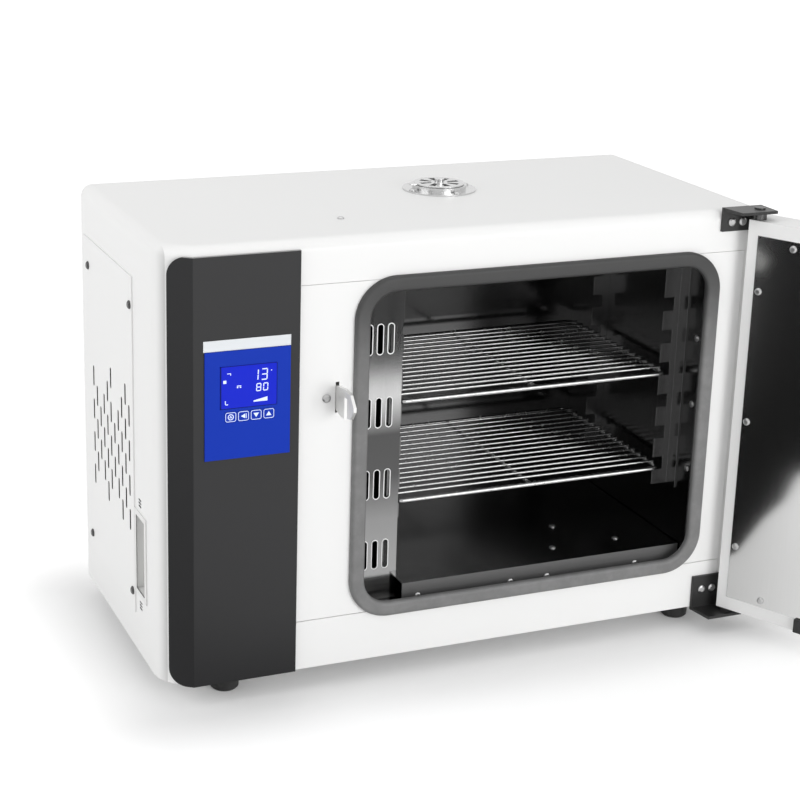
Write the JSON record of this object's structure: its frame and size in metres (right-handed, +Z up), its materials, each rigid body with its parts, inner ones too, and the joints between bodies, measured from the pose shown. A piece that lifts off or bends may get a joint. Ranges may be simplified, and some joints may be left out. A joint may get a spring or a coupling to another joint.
{
  "type": "electrode drying oven",
  "caption": "Bench-top drying oven: white sheet cabinet, dark control panel, stainless chamber with wire shelves, top vent and a thick insulated door hinged on the right, standing open.",
  "frame": {"origin": "on the plane that the feet stand on, under the middle of the whole oven as it stands with its door open", "axes": "+X to the right of someone facing the oven, +Y from the front to the back, +Z up"},
  "size_m": [0.8814, 0.7368, 0.4663],
  "materials": {
    "white_steel": "satin powder coat",
    "dark_panel": "satin dark coat",
    "stainless": "brushed stainless sheet",
    "galvanised": "dull zinc coat",
    "wire_steel": "bright wire",
    "screw_steel": "bright screws",
    "black_steel": "black coat",
    "silicone_grey": "soft matt silicone",
    "black_rubber": "matt rubber",
    "foil_blue": "printed foil",
    "key_blue": "printed foil keys",
    "lcd_blue": "lit display",
    "silver_foil": "satin",
    "board_green": "circuit board",
    "relay_plastic": "moulded",
    "black_plastic": "moulded",
    "wool": "mineral wool",
    "sheath": "heat-tinted sheath",
    "motor_metal": "painted motor",
    "shaft_steel": "ground",
    "fan_sheet": "pressed"
  },
  "bodies": {
    "cabinet": {"back_panel": "white_steel", "base_tray": "white_steel", "catch_hook": "galvanised", "chamber_screws": "screw_steel", "control_board": "board_green", "control_panel": "dark_panel", "display_foil": "foil_blue", "door_gasket": "silicone_grey", "duct_panel": "stainless", "fan_motor": "motor_metal", "feet": "black_rubber", "floor_plate": "stainless", "front_panel": "white_steel", "front_screws": "screw_steel", "hand_grip_left": "black_plastic", "hand_grip_right": "black_plastic", "heater_element": "sheath", "hinge_bracket_bottom": "black_steel", "hinge_bracket_top": "black_steel", "hinge_pin_bottom": "screw_steel", "hinge_pin_top": "screw_steel", "inner_chamber": "stainless", "insulation_bottom": "wool", "insulation_left": "wool", "insulation_rear": "wool", "insulation_right": "wool", "insulation_top": "wool", "lcd_window": "lcd_blue", "left_side_cover": "white_steel", "outer_shell": "white_steel", "power_inlet": "black_plastic", "power_relay": "relay_plastic", "rail_left_front": "stainless", "rail_left_rear": "stainless", "rail_right_front": "stainless", "rail_right_rear": "stainless", "side_screws": "screw_steel", "silver_strip": "silver_foil", "temperature_probe": "stainless", "vent_base": "stainless", "vent_screws": "screw_steel"},
    "door": {"door_shell": "white_steel", "door_hinge_blocks": "galvanised", "door_inner_panel": "stainless", "door_insulation": "wool", "door_panel_screws": "screw_steel", "handle_rose": "black_plastic", "door_stop": "black_rubber"},
    "door_latch": {"door_handle": "black_plastic", "latch_tongue": "galvanised"},
    "shelf_upper": {"shelf_upper": "wire_steel"},
    "shelf_lower": {"shelf_lower": "wire_steel"},
    "vent_damper": {"vent_damper": "stainless"},
    "key_set": {"key_set": "key_blue"},
    "key_left": {"key_left": "key_blue"},
    "key_down": {"key_down": "key_blue"},
    "key_up": {"key_up": "key_blue"},
    "fan": {"fan_impeller": "fan_sheet", "fan_shaft": "shaft_steel"}
  },
  "joints": [
    {"name": "door_hinge", "type": "hinge", "parent": "cabinet", "child": "door", "pos_m": [0.17872, 0.05695, 0.2], "axis": [0, 0, 1], "range_deg": [-118, 7]},
    {"name": "latch_turn", "type": "hinge", "parent": "door", "child": "door_latch", "pos_m": [0.38602, -0.30738, 0.301], "axis": [-0.8829, -0.4695, 0], "range_deg": [0, 90]},
    {"name": "shelf_upper_slide", "type": "slide", "parent": "cabinet", "child": "shelf_upper", "axis": [0, -1, 0], "range_m": [0, 0.16]},
    {"name": "shelf_lower_slide", "type": "slide", "parent": "cabinet", "child": "shelf_lower", "axis": [0, -1, 0], "range_m": [0, 0.16]},
    {"name": "vent_turn", "type": "hinge", "parent": "cabinet", "child": "vent_damper", "pos_m": [-0.08858, 0.24495, 0.461], "axis": [0, 0, 1], "range_deg": [0, 22.5]},
    {"name": "key_set_press", "type": "slide", "parent": "cabinet", "child": "key_set", "axis": [0, 1, 0], "range_m": [0, 0.0004], "stiffness_N_per_m": 600},
    {"name": "key_left_press", "type": "slide", "parent": "cabinet", "child": "key_left", "axis": [0, 1, 0], "range_m": [0, 0.0004], "stiffness_N_per_m": 600},
    {"name": "key_down_press", "type": "slide", "parent": "cabinet", "child": "key_down", "axis": [0, 1, 0], "range_m": [0, 0.0004], "stiffness_N_per_m": 600},
    {"name": "key_up_press", "type": "slide", "parent": "cabinet", "child": "key_up", "axis": [0, 1, 0], "range_m": [0, 0.0004], "stiffness_N_per_m": 600},
    {"name": "fan_spin", "type": "hinge", "parent": "cabinet", "child": "fan", "pos_m": [-0.22329, 0.22295, 0.232], "axis": [1, 0, 0], "continuous": true}
  ]
}
